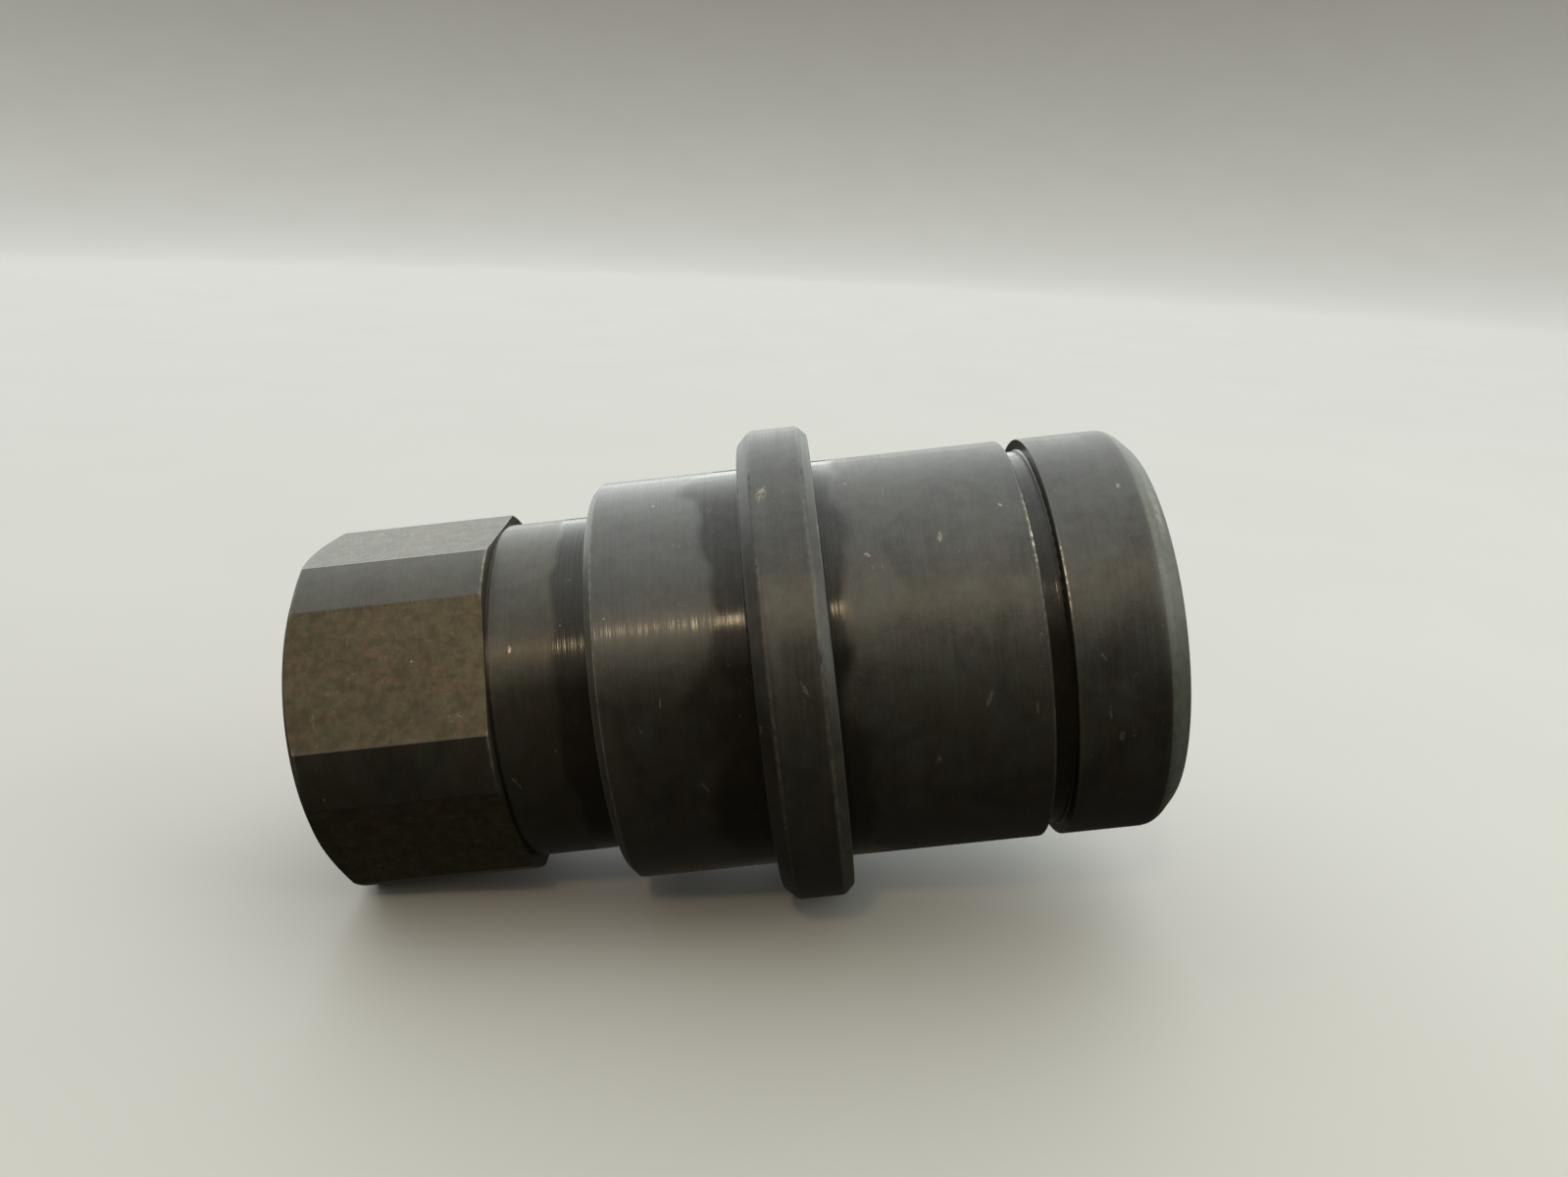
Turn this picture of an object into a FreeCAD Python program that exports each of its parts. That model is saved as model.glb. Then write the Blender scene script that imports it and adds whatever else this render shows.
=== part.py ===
"""Hydraulic quick disconnect coupler, female half, with a pull-back ball-lock sleeve.

The coupler is a turned steel body in two pieces, a rear adapter with wrench flats and a socket body,
screwed together. Eight steel balls in the socket body hold the male tip. A spring keeps the flanged
release sleeve forward, over the balls; pulling it back towards the wrench flats lets them move out.
A poppet valve on its own spring closes the bore when nothing is plugged in.

Frame: millimetres. X is the coupler's axis, with +X towards the mating end. The origin is on the axis
in the plane of the sleeve flange's front face. +Z is up, square to two of the six wrench flats.
"""
import FreeCAD
import Part
import math
import os

from FreeCAD import Vector

OUT = "parts"
X_AXIS = Vector(1, 0, 0)
ORIGIN = Vector(0, 0, 0)

# ---- Driving sizes: the outside shape ----
SLEEVE_R = 19.0
FLANGE_R = 22.5
NECK_R = 16.0
WRENCH_FLATS = 32.0
WRENCH_CORNER_R = 17.15
WRENCH_FACE_R = 15.3
REAR_X = -47.3
WRENCH_FRONT_X = -29.5
SLEEVE_REAR_X = -20.4
FLANGE_REAR_X = -6.6
CLIP_GROOVE_X = (17.85, 19.75)
CLIP_GROOVE_DEPTH = 1.1
SLEEVE_FRONT_X = 29.7
NOSE_CHAMFER = 1.9
NOSE_OUTER_ROUND = 2.0
NOSE_FACE_ROUND = 1.2
FLANGE_REAR_CHAMFER = 1.25
FLANGE_FRONT_CHAMFER = 0.95
FLANGE_ROUND = 0.8
FLANGE_FACE_ROUND = 0.4
REAR_CHAMFER = 0.7
EDGE = 0.2
JOINT_LINE = 0.3

# ---- Driving sizes: what plugs in and how it is held ----
MOUTH_R = 12.6
MOUTH_REAR_X = 20.6
SHOULDER_BORE_R = 11.95
SHOULDER_REAR_X = 12.2
NOSE_BORE_FRONT_X = 11.0
NOSE_BORE_R = 10.35
BALL_COUNT = 8
BALL_R = 3.969 / 2
BALL_ROW_X = 18.0
BALL_GRIP = 1.0
SLEEVE_TRAVEL = 5.5
POPPET_TRAVEL = 6.0

# ---- Running clearances and the socket body's outside ----
SLIDE_GAP = 0.08
TOUCH_GAP = 0.02
SOCKET_R = 14.87
SPRING_LAND_R = 13.2
SOCKET_FRONT_X = 29.0
SOCKET_CHAMFER = 0.6
SOCKET_STEP_X = 5.0
BALL_LOCKED_R = SHOULDER_BORE_R - BALL_GRIP + BALL_R
BALL_POCKET_R = BALL_R + 0.036
NECK_FRONT_X = -11.5

# ---- Sleeve bore ----
SPRING_CHAMBER_R = 15.55
COUNTERBORE_R = 16.1
LOCK_LAND_R = SOCKET_R + SLIDE_GAP
LAND_REAR_X = SOCKET_STEP_X - 0.1
CAM_LENGTH = 3.0
STOP_FACE_X = BALL_ROW_X + CAM_LENGTH
CHAMBER_REAR_X = NECK_FRONT_X + SLEEVE_TRAVEL + 0.05

# ---- Valve ----
NOSE_STOP_X = -1.0
THROAT_R = 8.0
SEAT_X = -4.0
CHAMBER_R = 10.2
SEAT_X_PLUS_R = SEAT_X + THROAT_R
POPPET_R = 9.2
POPPET_BACK_X = -7.2
POPPET_SEAL_X = (-5.05, -3.45)
POPPET_SEAL_INNER_R = 6.15
NOSE_RIM_R = 7.0
STUD_R = 2.5
STUD_FRONT_X = -1.9
BOSS_R = 3.4
STEM_R = 2.2
STEM_REAR_X = -23.6
STEM_GAP = 0.06
HUB_FRONT_X = -19.1
HUB_R = 4.2
GUIDE_X = (-21.7, -19.7)
GUIDE_WINDOW_R = (4.7, 7.8)
GUIDE_WEB_WIDTH = 2.6
GUIDE_RING_X = (-23.0, -21.7)
GUIDE_RING_GROOVE_R = 11.05
SOCKET_REAR_X = -24.8

# ---- Rear adapter and port: G 1/2 parallel pipe thread ----
PORT_MAJOR_R = 20.955 / 2
PORT_MINOR_R = 18.631 / 2
PORT_PITCH = 1.814
PORT_THREAD_FRONT_X = -31.5
PORT_RELIEF_FRONT_X = -29.8
PORT_RELIEF_R = 10.8
PORT_MOUTH_R = 11.0
FLOW_R = 8.6
JOINT_THREAD_R = 13.0
JOINT_THREAD_GAP = 0.03
BODY_SEAL_R = (10.9, 12.7)
BODY_SEAL_DEPTH = 1.45

# ---- Springs and seals ----
SLEEVE_WIRE_R = 0.95
SLEEVE_SPRING_R = 14.35
SLEEVE_SPRING_TURNS = 4.9
POPPET_WIRE_R = 0.6
POPPET_SPRING_R = 8.55
POPPET_SPRING_TURNS = 5.0
WASHER_THICKNESS = 0.8
SEAL_GROOVE_X = (6.2, 9.8)
SEAL_GROOVE_R = 12.3
SEAL_INNER_R = NOSE_BORE_R + 0.06
SEAL_WIDTH = 2.35
BACKUP_WIDTH = 1.05
SEAL_SIDE_GAP = 0.05
STOP_RING_THICKNESS = 1.4
STOP_RING_R = 16.0
STOP_RING_GROOVE_R = 13.75
STOP_RING_GAP = 0.05


def corner_points(previous, corner, following, radius):
    """The start, middle and end of the arc that rounds one corner of an outline."""
    back = (previous - corner).normalize()
    ahead = (following - corner).normalize()
    half = back.getAngle(ahead) / 2
    reach = radius / math.tan(half)
    bisector = (back + ahead).normalize()
    centre = corner + bisector * (radius / math.sin(half))
    return corner + back * reach, centre - bisector * radius, corner + ahead * reach


def outline_wire(corners):
    """A closed wire in the XZ plane from (x, r) corners; a third value rounds that corner."""
    points = [Vector(c[0], 0, c[1]) for c in corners]
    radii = [c[2] if len(c) > 2 else 0 for c in corners]
    edges = []
    starts = []
    ends = []
    count = len(points)
    for i, point in enumerate(points):
        if radii[i]:
            start, middle, end = corner_points(points[i - 1], point, points[(i + 1) % count], radii[i])
            edges.append((i, Part.Arc(start, middle, end).toShape()))
        else:
            start = end = point
        starts.append(start)
        ends.append(end)
    for i in range(count):
        edges.append((i + 0.5, Part.makeLine(ends[i], starts[(i + 1) % count])))
    return Part.Wire([edge for _, edge in sorted(edges, key=lambda item: item[0])])


def turned(corners):
    """A solid turned about the X axis from an outline of (x, r) corners."""
    return Part.Face(outline_wire(corners)).revolve(ORIGIN, X_AXIS, 360)


def tube(rear_x, front_x, inner_r, outer_r, edge=0.0):
    """A plain ring about the X axis, with all four edges rounded by edge."""
    return turned([(rear_x, inner_r, edge), (rear_x, outer_r, edge),
                   (front_x, outer_r, edge), (front_x, inner_r, edge)])


def drum(rear_x, front_x, radius):
    """A plain cylinder about the X axis."""
    return Part.makeCylinder(radius, front_x - rear_x, Vector(rear_x, 0, 0), X_AXIS)


def radial(angle):
    """The outward direction at an angle about the X axis, from +Y towards +Z."""
    return Vector(0, math.cos(angle), math.sin(angle))


def ball_angles():
    """The ball row starts straight up, so that one ball is on the +Z side."""
    return [math.pi / 2 + 2 * math.pi * i / BALL_COUNT for i in range(BALL_COUNT)]


def coil_spring(rear_x, front_x, mean_r, wire_r, turns):
    """A compression spring with one closed turn at each end and its end faces ground flat."""
    length = front_x - rear_x
    closed_pitch = 2 * wire_r * 1.04
    start_x = rear_x + 0.35 * wire_r
    open_turns = turns - 2
    open_rise = length - 0.7 * wire_r - 2 * closed_pitch
    samples = 12
    steps = int(round(turns * samples))
    points = []
    for i in range(steps + 1):
        turn = turns * i / steps
        if turn < 1:
            rise = closed_pitch * turn
        elif turn > turns - 1:
            rise = closed_pitch + open_rise + closed_pitch * (turn - (turns - 1))
        else:
            rise = closed_pitch + open_rise * (turn - 1) / open_turns
        points.append(Vector(start_x + rise, 0, 0) + radial(2 * math.pi * turn) * mean_r)
    curve = Part.BSplineCurve()
    curve.interpolate(points)
    spine = Part.Wire(curve.toShape())
    ring = Part.makeCircle(wire_r, points[0], curve.tangent(curve.FirstParameter)[0])
    wire = spine.makePipeShell([Part.Wire(ring)], True, False)
    ground = tube(rear_x, front_x, mean_r - 2 * wire_r, mean_r + 2 * wire_r)
    return wire.common(ground)


def snap_ring(rear_x, front_x, inner_r, outer_r, gap_angle, lug_r, external):
    """An open C ring with two lugs that have a hole each for ring pliers."""
    ring = tube(rear_x, front_x, inner_r, outer_r, 0.1)
    half_gap = math.sin(gap_angle) * inner_r
    slot = Part.makeBox(front_x - rear_x + 2, 2 * half_gap, outer_r + 5, Vector(rear_x - 1, -half_gap, 0))
    lug_at = outer_r - lug_r if external else inner_r + 0.25 * lug_r
    lug_angle = gap_angle + lug_r / lug_at
    for side in (-1, 1):
        middle = radial(math.pi / 2 + side * lug_angle) * lug_at
        lug = Part.makeCylinder(lug_r, front_x - rear_x, Vector(rear_x, middle.y, middle.z), X_AXIS)
        hole = Part.makeCylinder(lug_r * 0.45, front_x - rear_x + 2,
                                 Vector(rear_x - 1, middle.y, middle.z), X_AXIS)
        ring = ring.fuse(lug).cut(hole)
    return ring.cut(slot)


def wrench_prism():
    """A long hexagonal prism about X whose top and bottom flats are square to Z."""
    corner_r = WRENCH_FLATS / 2 / math.cos(math.pi / 6)
    corners = [radial(i * math.pi / 3) * corner_r for i in range(7)]
    face = Part.Face(Part.makePolygon([Vector(REAR_X - 1, c.y, c.z) for c in corners]))
    return face.extrude(Vector(WRENCH_FRONT_X - REAR_X + 1, 0, 0))


def port_thread_cutter():
    """The helical groove of the port thread, as a solid that is cut from the bore."""
    turns = int((PORT_THREAD_FRONT_X - REAR_X) / PORT_PITCH) + 2
    start_x = PORT_THREAD_FRONT_X + 0.55 * PORT_PITCH - turns * PORT_PITCH
    root_half = PORT_PITCH * 0.09
    flank = math.tan(math.radians(27.5))
    inner_r = PORT_MINOR_R - 0.15
    inner_half = root_half + (PORT_MAJOR_R - inner_r) * flank
    helix = Part.makeHelix(PORT_PITCH, turns * PORT_PITCH, PORT_MINOR_R)
    profile = Part.makePolygon([Vector(inner_r, 0, -inner_half), Vector(PORT_MAJOR_R, 0, -root_half),
                                Vector(PORT_MAJOR_R, 0, root_half), Vector(inner_r, 0, inner_half),
                                Vector(inner_r, 0, -inner_half)])
    cutter = Part.Wire(helix).makePipeShell([profile], True, True)
    cutter.rotate(ORIGIN, Vector(0, 1, 0), 90)
    cutter.translate(Vector(start_x, 0, 0))
    return cutter


def make_rear_adapter():
    """Wrench flats, neck and port. Its front bore screws onto the socket body's tail."""
    nut_chamfer_x = REAR_X + (WRENCH_CORNER_R - WRENCH_FACE_R) * math.tan(math.radians(30))
    outside = turned([
        (REAR_X, PORT_MINOR_R), (REAR_X, WRENCH_FACE_R, 0.15), (nut_chamfer_x, WRENCH_CORNER_R, 0.2),
        (WRENCH_FRONT_X, WRENCH_CORNER_R, 0.15), (WRENCH_FRONT_X, NECK_R - JOINT_LINE, 0.05),
        (WRENCH_FRONT_X + JOINT_LINE, NECK_R - JOINT_LINE, 0.05), (WRENCH_FRONT_X + JOINT_LINE, NECK_R, 0.1),
        (NECK_FRONT_X, NECK_R, 0.3), (NECK_FRONT_X, PORT_MINOR_R)])
    flats = wrench_prism()
    front_part = drum(WRENCH_FRONT_X, NECK_FRONT_X + 1, FLANGE_R)
    body = outside.common(flats.fuse(front_part))
    joint_r = JOINT_THREAD_R + JOINT_THREAD_GAP
    joint_seat_x = SOCKET_REAR_X - 0.05
    bore = turned([
        (REAR_X - 1, 0), (REAR_X - 1, PORT_MOUTH_R + 1), (REAR_X, PORT_MOUTH_R),
        (REAR_X + PORT_MOUTH_R - PORT_MINOR_R, PORT_MINOR_R), (PORT_THREAD_FRONT_X, PORT_MINOR_R),
        (PORT_THREAD_FRONT_X + 0.2, PORT_RELIEF_R), (PORT_RELIEF_FRONT_X, PORT_RELIEF_R),
        (PORT_RELIEF_FRONT_X + 0.6, FLOW_R), (joint_seat_x, FLOW_R), (joint_seat_x, joint_r),
        (NECK_FRONT_X + 1, joint_r), (NECK_FRONT_X + 1, 0)])
    seal_groove = tube(SOCKET_REAR_X - BODY_SEAL_DEPTH, SOCKET_REAR_X, BODY_SEAL_R[0], BODY_SEAL_R[1])
    return body.cut(bore).cut(seal_groove).cut(port_thread_cutter())


def make_socket_body():
    """The front body: socket for the male tip, ball pockets, seal groove, valve seat and chamber."""
    seat_end_x = SEAT_X - (CHAMBER_R - THROAT_R)
    undercut_x = NECK_FRONT_X - 1
    undercut_r = SPRING_LAND_R - 0.6
    ring_front_x = STOP_FACE_X + STOP_RING_THICKNESS + 2 * STOP_RING_GAP
    body = turned([
        (SOCKET_REAR_X, CHAMBER_R), (SOCKET_REAR_X, JOINT_THREAD_R, 0.3), (undercut_x, JOINT_THREAD_R),
        (undercut_x, undercut_r), (NECK_FRONT_X, undercut_r), (NECK_FRONT_X, SPRING_LAND_R, 0.1),
        (SOCKET_STEP_X, SPRING_LAND_R, 0.2), (SOCKET_STEP_X, SOCKET_R, 0.2),
        (STOP_FACE_X, SOCKET_R), (STOP_FACE_X, STOP_RING_GROOVE_R),
        (ring_front_x, STOP_RING_GROOVE_R), (ring_front_x, SOCKET_R),
        (SOCKET_FRONT_X - SOCKET_CHAMFER, SOCKET_R, 0.2), (SOCKET_FRONT_X, SOCKET_R - SOCKET_CHAMFER, 0.2),
        (SOCKET_FRONT_X, MOUTH_R + SOCKET_CHAMFER, 0.15), (SOCKET_FRONT_X - SOCKET_CHAMFER, MOUTH_R),
        (MOUTH_REAR_X, MOUTH_R), (MOUTH_REAR_X, SHOULDER_BORE_R),
        (SHOULDER_REAR_X, SHOULDER_BORE_R, 0.3), (NOSE_BORE_FRONT_X, NOSE_BORE_R, 0.2),
        (SEAL_GROOVE_X[1], NOSE_BORE_R, 0.1), (SEAL_GROOVE_X[1], SEAL_GROOVE_R),
        (SEAL_GROOVE_X[0], SEAL_GROOVE_R), (SEAL_GROOVE_X[0], NOSE_BORE_R, 0.1),
        (NOSE_STOP_X, NOSE_BORE_R), (NOSE_STOP_X, THROAT_R, 0.2),
        (SEAT_X, THROAT_R), (seat_end_x, CHAMBER_R),
        (GUIDE_RING_X[1] + TOUCH_GAP, CHAMBER_R), (GUIDE_RING_X[1] + TOUCH_GAP, GUIDE_RING_GROOVE_R),
        (GUIDE_RING_X[0] - TOUCH_GAP, GUIDE_RING_GROOVE_R), (GUIDE_RING_X[0] - TOUCH_GAP, CHAMBER_R)])
    for angle in ball_angles():
        out = radial(angle)
        centre = Vector(BALL_ROW_X, 0, 0) + out * BALL_LOCKED_R
        body = body.cut(Part.makeCylinder(BALL_POCKET_R, SOCKET_R, centre, out))
        body = body.cut(Part.makeSphere(BALL_POCKET_R, centre))
    return body


def make_release_sleeve():
    """The outer sleeve: grip flange, clip groove, and the cam inside that traps the balls."""
    cam_slope = BALL_GRIP / SLEEVE_TRAVEL
    cam_r = LOCK_LAND_R + TOUCH_GAP
    stop_x = STOP_FACE_X - TOUCH_GAP
    groove_r = SLEEVE_R - CLIP_GROOVE_DEPTH
    front = SLEEVE_FRONT_X
    neck_bore_r = NECK_R + SLIDE_GAP
    return turned([
        (SLEEVE_REAR_X, neck_bore_r + 0.3), (SLEEVE_REAR_X, SLEEVE_R - REAR_CHAMFER, 0.1),
        (SLEEVE_REAR_X + REAR_CHAMFER, SLEEVE_R, EDGE), (FLANGE_REAR_X, SLEEVE_R, 0.3),
        (FLANGE_REAR_X, FLANGE_R - FLANGE_REAR_CHAMFER, FLANGE_FACE_ROUND),
        (FLANGE_REAR_X + FLANGE_REAR_CHAMFER, FLANGE_R, FLANGE_ROUND),
        (-FLANGE_FRONT_CHAMFER, FLANGE_R, FLANGE_ROUND),
        (0, FLANGE_R - FLANGE_FRONT_CHAMFER, FLANGE_FACE_ROUND), (0, SLEEVE_R),
        (CLIP_GROOVE_X[0], SLEEVE_R, 0.25), (CLIP_GROOVE_X[0], groove_r, 0.15),
        (CLIP_GROOVE_X[1], groove_r, 0.25), (CLIP_GROOVE_X[1], SLEEVE_R, 0.12),
        (front - NOSE_CHAMFER, SLEEVE_R, NOSE_OUTER_ROUND), (front, SLEEVE_R - NOSE_CHAMFER, NOSE_FACE_ROUND),
        (front, COUNTERBORE_R + 0.15), (front - 0.15, COUNTERBORE_R), (stop_x, COUNTERBORE_R),
        (stop_x, cam_r + cam_slope * (stop_x - BALL_ROW_X)), (BALL_ROW_X, cam_r),
        (BALL_ROW_X - 0.5, LOCK_LAND_R), (LAND_REAR_X, LOCK_LAND_R, 0.1),
        (LAND_REAR_X, SPRING_CHAMBER_R), (CHAMBER_REAR_X, SPRING_CHAMBER_R),
        (CHAMBER_REAR_X, neck_bore_r), (SLEEVE_REAR_X + 0.3, neck_bore_r)])


def make_spring_washer():
    """The flat ring between the sleeve spring and the shoulder of the lock land."""
    front_x = LAND_REAR_X - TOUCH_GAP
    return tube(front_x - WASHER_THICKNESS, front_x, SPRING_LAND_R + SLIDE_GAP, SPRING_CHAMBER_R - 0.1, 0.1)


def make_sleeve_spring():
    """Pushes the sleeve forward from the front of the adapter's neck."""
    front_x = LAND_REAR_X - TOUCH_GAP - WASHER_THICKNESS - TOUCH_GAP
    return coil_spring(NECK_FRONT_X + TOUCH_GAP, front_x, SLEEVE_SPRING_R, SLEEVE_WIRE_R, SLEEVE_SPRING_TURNS)


def make_sleeve_stop_ring():
    """The snap ring on the socket body that the sleeve rests against."""
    rear_x = STOP_FACE_X + STOP_RING_GAP
    return snap_ring(rear_x, rear_x + STOP_RING_THICKNESS, STOP_RING_GROOVE_R + STOP_RING_GAP, STOP_RING_R,
                     math.radians(5), 0.75, True)


def make_locking_ball(angle):
    """One ball, in its locked place, standing into the bore by BALL_GRIP."""
    return Part.makeSphere(BALL_R, Vector(BALL_ROW_X, 0, 0) + radial(angle) * BALL_LOCKED_R)


def make_interface_o_ring():
    """The seal that the male tip's nose slides into, drawn at its fitted size."""
    rear_x = SEAL_GROOVE_X[0] + SEAL_SIDE_GAP
    return tube(rear_x, rear_x + SEAL_WIDTH, SEAL_INNER_R, SEAL_GROOVE_R - TOUCH_GAP, 0.85)


def make_interface_backup_ring():
    """The hard ring ahead of the seal that stops it being squeezed out under pressure."""
    front_x = SEAL_GROOVE_X[1] - SEAL_SIDE_GAP
    return tube(front_x - BACKUP_WIDTH, front_x, SEAL_INNER_R, SEAL_GROOVE_R - TOUCH_GAP, 0.08)


def make_body_o_ring():
    """The face seal between the socket body's tail and the adapter, drawn squeezed."""
    rear_x = SOCKET_REAR_X - BODY_SEAL_DEPTH + TOUCH_GAP
    return tube(rear_x, SOCKET_REAR_X - TOUCH_GAP, BODY_SEAL_R[0] + 0.05, BODY_SEAL_R[1] - 0.05, 0.6)


def make_poppet_head():
    """The valve disc with its stem, the seal's seat and the stud that the nose screws onto."""
    seal_rear_x, seal_front_x = POPPET_SEAL_X
    boss_rear_x = HUB_FRONT_X + POPPET_TRAVEL + TOUCH_GAP
    return turned([
        (STEM_REAR_X, 0), (STEM_REAR_X, STEM_R, 0.4), (boss_rear_x, STEM_R, 0.1),
        (boss_rear_x, BOSS_R, 0.2), (POPPET_BACK_X, BOSS_R, 0.4),
        (POPPET_BACK_X, POPPET_R, 0.2), (seal_rear_x - 0.25, POPPET_R, 0.1), (seal_rear_x, POPPET_R - 0.25),
        (seal_rear_x, POPPET_SEAL_INNER_R), (seal_front_x, POPPET_SEAL_INNER_R), (seal_front_x, STUD_R),
        (STUD_FRONT_X, STUD_R, 0.2), (STUD_FRONT_X, 0)])


def make_poppet_seal():
    """The rubber ring whose crowned face closes on the conical seat."""
    rear_x = POPPET_SEAL_X[0] + TOUCH_GAP
    front_x = POPPET_SEAL_X[1] - TOUCH_GAP
    crown_x = (rear_x + front_x) / 2
    crown_drop = 0.12
    inner_r = POPPET_SEAL_INNER_R + TOUCH_GAP
    contact = SEAT_X_PLUS_R - TOUCH_GAP
    return turned([
        (front_x, inner_r), (front_x, contact - front_x - crown_drop, 0.2), (crown_x, contact - crown_x, 0.3),
        (rear_x, contact - rear_x - crown_drop, 0.2), (rear_x, inner_r)])


def make_poppet_nose():
    """The tip that the male tip's valve pushes on; it clamps the seal to the head."""
    tip_x = NOSE_STOP_X - 0.05
    rear_x = POPPET_SEAL_X[1] + TOUCH_GAP
    rim_x = rear_x + 0.63
    stud_bore_r = STUD_R + 0.03
    stud_end_x = STUD_FRONT_X + TOUCH_GAP
    return turned([
        (rear_x, stud_bore_r), (rear_x, NOSE_RIM_R, 0.15), (rim_x, NOSE_RIM_R, 0.3), (rim_x, 5.8, 0.3),
        (tip_x, 5.2, 0.5), (tip_x, 1.6, 0.1), (tip_x - 0.6, 1.2), (tip_x - 0.6, 0), (stud_end_x, 0),
        (stud_end_x, stud_bore_r)])


def make_poppet_spring():
    """Closes the poppet from the rim of the valve guide."""
    return coil_spring(GUIDE_X[1] + TOUCH_GAP, POPPET_BACK_X - TOUCH_GAP, POPPET_SPRING_R, POPPET_WIRE_R,
                       POPPET_SPRING_TURNS)


def make_valve_guide():
    """The spider that guides the stem, with three windows for the flow."""
    stem_bore_r = STEM_R + STEM_GAP
    rim_r = CHAMBER_R - 0.05
    guide = turned([
        (GUIDE_X[0], stem_bore_r, 0.1), (GUIDE_X[0], rim_r, 0.2), (GUIDE_X[1], rim_r, 0.2),
        (GUIDE_X[1], HUB_R, 0.2), (HUB_FRONT_X, HUB_R, 0.2), (HUB_FRONT_X, stem_bore_r, 0.1)])
    window_ring = tube(GUIDE_X[0] - 1, GUIDE_X[1] + 1, GUIDE_WINDOW_R[0], GUIDE_WINDOW_R[1])
    for i in range(3):
        web = Part.makeBox(6, GUIDE_WEB_WIDTH, CHAMBER_R, Vector(GUIDE_X[0] - 2, -GUIDE_WEB_WIDTH / 2, 0))
        web.rotate(ORIGIN, X_AXIS, 120 * i)
        window_ring = window_ring.cut(web)
    return guide.cut(window_ring)


def make_guide_retaining_ring():
    """The snap ring behind the valve guide."""
    return snap_ring(GUIDE_RING_X[0], GUIDE_RING_X[1] - TOUCH_GAP, 9.3, GUIDE_RING_GROOVE_R - 0.05,
                     math.radians(14), 0.8, False)


PIECES = {
    "rear_adapter": make_rear_adapter,
    "socket_body": make_socket_body,
    "release_sleeve": make_release_sleeve,
    "spring_washer": make_spring_washer,
    "sleeve_spring": make_sleeve_spring,
    "sleeve_stop_ring": make_sleeve_stop_ring,
    "interface_o_ring": make_interface_o_ring,
    "interface_backup_ring": make_interface_backup_ring,
    "body_o_ring": make_body_o_ring,
    "poppet_head": make_poppet_head,
    "poppet_seal": make_poppet_seal,
    "poppet_nose": make_poppet_nose,
    "poppet_spring": make_poppet_spring,
    "valve_guide": make_valve_guide,
    "guide_retaining_ring": make_guide_retaining_ring,
}


def write_step(name, shape):
    """Checks that a piece is sound and writes it as parts/name.step."""
    if not shape.isValid() or not shape.Solids:
        raise ValueError(f"{name} is not a sound solid")
    solid = shape.Solids[0] if len(shape.Solids) == 1 else Part.makeCompound(shape.Solids)
    solid.exportStep(os.path.join(OUT, name + ".step"))
    box = shape.optimalBoundingBox()
    print(f"{name}: {len(shape.Solids)} solid, {shape.Volume:.1f} mm3, x {box.XMin:.2f} to {box.XMax:.2f}, "
          f"r {max(box.YMax, box.ZMax):.2f}")


def main():
    os.makedirs(OUT, exist_ok=True)
    for name, make in PIECES.items():
        write_step(name, make())
    for number, angle in enumerate(ball_angles(), start=1):
        write_step(f"locking_ball_{number}", make_locking_ball(angle))


main()
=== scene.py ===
"""Looks for a hydraulic quick disconnect coupler: turned steel with a worn, lightly oiled black oxide.

Everything is in metres in the CAD frame. X is the coupler's axis, with the mating end at +X. The origin is on
the axis in the plane of the sleeve flange's front face. Materials work in millimetres of that same frame.
"""
import math
import random
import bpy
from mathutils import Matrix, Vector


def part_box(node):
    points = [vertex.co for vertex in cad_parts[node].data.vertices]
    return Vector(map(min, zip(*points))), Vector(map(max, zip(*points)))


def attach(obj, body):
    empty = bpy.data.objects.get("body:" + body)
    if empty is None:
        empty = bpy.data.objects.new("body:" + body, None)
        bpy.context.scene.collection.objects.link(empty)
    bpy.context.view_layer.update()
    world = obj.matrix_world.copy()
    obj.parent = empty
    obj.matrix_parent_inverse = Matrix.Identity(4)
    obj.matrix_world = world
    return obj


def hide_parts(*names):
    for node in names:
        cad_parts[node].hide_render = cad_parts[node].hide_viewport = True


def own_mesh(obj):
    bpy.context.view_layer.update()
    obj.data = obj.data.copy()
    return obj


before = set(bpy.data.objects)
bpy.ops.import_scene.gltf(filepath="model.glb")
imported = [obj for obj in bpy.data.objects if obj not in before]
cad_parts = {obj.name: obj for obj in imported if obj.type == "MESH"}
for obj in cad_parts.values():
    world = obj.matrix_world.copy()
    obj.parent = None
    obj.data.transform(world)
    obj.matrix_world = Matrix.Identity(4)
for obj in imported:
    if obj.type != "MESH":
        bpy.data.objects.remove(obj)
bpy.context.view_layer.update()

from types import SimpleNamespace

import bpy
from mathutils import Matrix, Vector

# ---- Where features are along the axis, in millimetres of the CAD frame ----
SLEEVE_R = 19.0
FLANGE_R = 22.5
NECK_R = 16.0
SLEEVE_REAR_X = -20.4
REAR_CHAMFER = 0.7
FLANGE_REAR_X = -6.6
FLANGE_REAR_CHAMFER = 1.25
FLANGE_FRONT_CHAMFER = 0.95
GROOVE_X = (17.85, 19.75)
SLEEVE_FRONT_X = 29.7
NOSE_CHAMFER = 1.9
WRENCH_FRONT_X = -29.5
REAR_X = -47.3
FLAT_APOTHEM = 16.0
CORNER_R = 17.15
REAR_FACE_R = 15.3
REAR_FACE_CHAMFER = 1.07
SOCKET_FRONT_X = 29.0
SOCKET_R = 14.87
SOCKET_CHAMFER = 0.6
SOCKET_MOUTH_R = 13.2
PORT_R = 9.3155
PORT_X = (-45.6, -31.5)
THREAD_PITCH = 1.814
THREAD_DEPTH = 1.16
# The one large nick, on the flange: x, degrees up from the -Y side, length, width, lean.
LARGE_NICK = (-4.5, 60, 1.3, 0.6, 0.2)

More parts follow.
